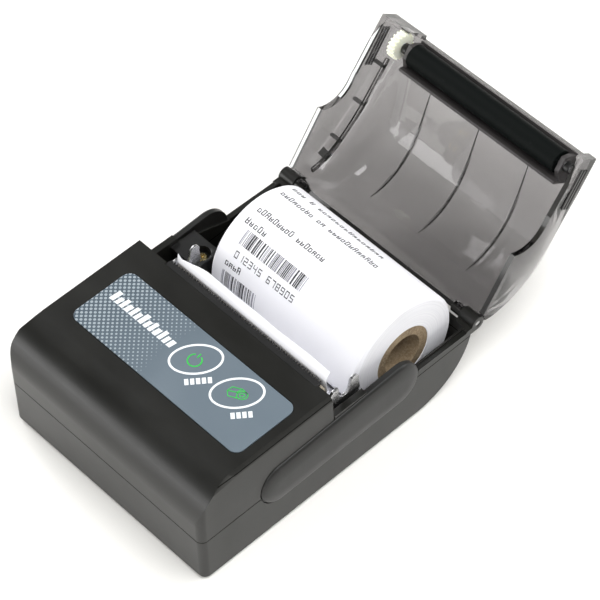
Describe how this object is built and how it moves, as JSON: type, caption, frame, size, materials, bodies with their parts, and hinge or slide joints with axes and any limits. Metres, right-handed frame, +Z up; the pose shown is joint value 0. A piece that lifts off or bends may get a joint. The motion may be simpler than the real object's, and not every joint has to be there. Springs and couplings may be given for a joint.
{
  "type": "receipt printer",
  "caption": "Portable receipt printer: rounded black case with side grips, label and oval keys, smoked cover hinged open over a paper roll, platen, gears and board inside.",
  "frame": {"origin": "centre of the flat underside of the case, midway along the body, on the surface it stands on", "axes": "+Z up, -Y towards the rounded front with the label, +X to the right seen from the front; the hinge runs along X at the back"},
  "size_m": [0.0798, 0.1469, 0.0543],
  "materials": {
    "case_black": "moulded ABS, fine satin with a soft sheen",
    "grip_black": "finer, slightly duller moulded plastic",
    "frame_black": "plain moulded black plastic",
    "label_film": "printed polyester film, satin",
    "smoke_clear": "smoked clear polycarbonate, polished",
    "steel": "plated sheet and bright turned steel",
    "zinc": "bright zinc-plated screws",
    "brass": "brass, slightly dull",
    "aluminium": "milled",
    "head_ceramic": "glazed alumina with a brown heater line",
    "platen_rubber": "ground rubber",
    "gear_nylon": "cream moulded nylon",
    "paper": "smooth thermal paper",
    "card": "grey-brown wound card",
    "circuit_board": "solder mask",
    "black_parts": "moulded component bodies",
    "battery_wrap": "shrink film",
    "flat_cable": "amber polyimide film"
  },
  "bodies": {
    "case": {"bottom_case": "case_black", "top_case": "case_black", "side_grip_left": "grip_black", "side_grip_right": "grip_black", "inner_frame": "frame_black", "tear_bar": "frame_black", "control_overlay": "label_film", "key_board": "circuit_board", "tact_switches": "black_parts", "key_board_screws": "zinc", "case_screws": "zinc", "frame_screws": "brass", "pcb_screws": "zinc", "door_screws": "zinc", "mechanism_screws": "zinc", "battery_door": "case_black", "battery_pack": "battery_wrap", "battery_contacts": "brass", "main_pcb": "circuit_board", "pcb_parts": "black_parts", "usb_port": "steel", "key_cable": "flat_cable", "head_flex": "flat_cable", "mechanism_frame": "steel", "thermal_head": "head_ceramic", "head_heatsink": "aluminium", "head_springs": "steel", "stepper_motor": "steel", "idler_pin": "steel", "paper_sensor": "black_parts", "hinge_pins": "steel", "paper_web": "paper"},
    "cover": {"cover": "smoke_clear", "platen_holder": "frame_black", "platen_bushings": "frame_black"},
    "platen": {"platen_shaft": "steel", "platen_roller": "platen_rubber", "platen_gear": "gear_nylon"},
    "roll": {"paper_roll": "paper", "paper_core": "card"},
    "power_key": {"power_button": "label_film"},
    "feed_key": {"feed_button": "label_film"},
    "pinion": {"motor_pinion": "brass"},
    "idler": {"idler_gear": "gear_nylon"}
  },
  "joints": [
    {"name": "cover_hinge", "type": "hinge", "parent": "case", "child": "cover", "pos_m": [0, 0.0503, 0.0188], "axis": [1, 0, 0], "range_deg": [0, 127.4]},
    {"name": "platen_spin", "type": "hinge", "parent": "cover", "child": "platen", "pos_m": [0, 0.08797, 0.04979], "axis": [1, 0, 0], "continuous": true},
    {"name": "roll_spin", "type": "hinge", "parent": "case", "child": "roll", "pos_m": [0.0045, 0.0271, 0.0209], "axis": [1, 0, 0], "continuous": true},
    {"name": "power_press", "type": "slide", "parent": "case", "child": "power_key", "axis": [0, 0, -1], "range_m": [0, 0.00035], "stiffness_N_per_m": 600},
    {"name": "feed_press", "type": "slide", "parent": "case", "child": "feed_key", "axis": [0, 0, -1], "range_m": [0, 0.00035], "stiffness_N_per_m": 600},
    {"name": "idler_spin", "type": "hinge", "parent": "case", "child": "idler", "pos_m": [0, -0.00434, 0.0214], "axis": [1, 0, 0], "continuous": true},
    {"name": "pinion_spin", "type": "hinge", "parent": "case", "child": "pinion", "pos_m": [0, -0.01223, 0.01852], "axis": [1, 0, 0], "continuous": true}
  ],
  "couplings": [
    {"joint": "pinion_spin", "follows": "idler_spin", "ratio": -2.5}
  ]
}
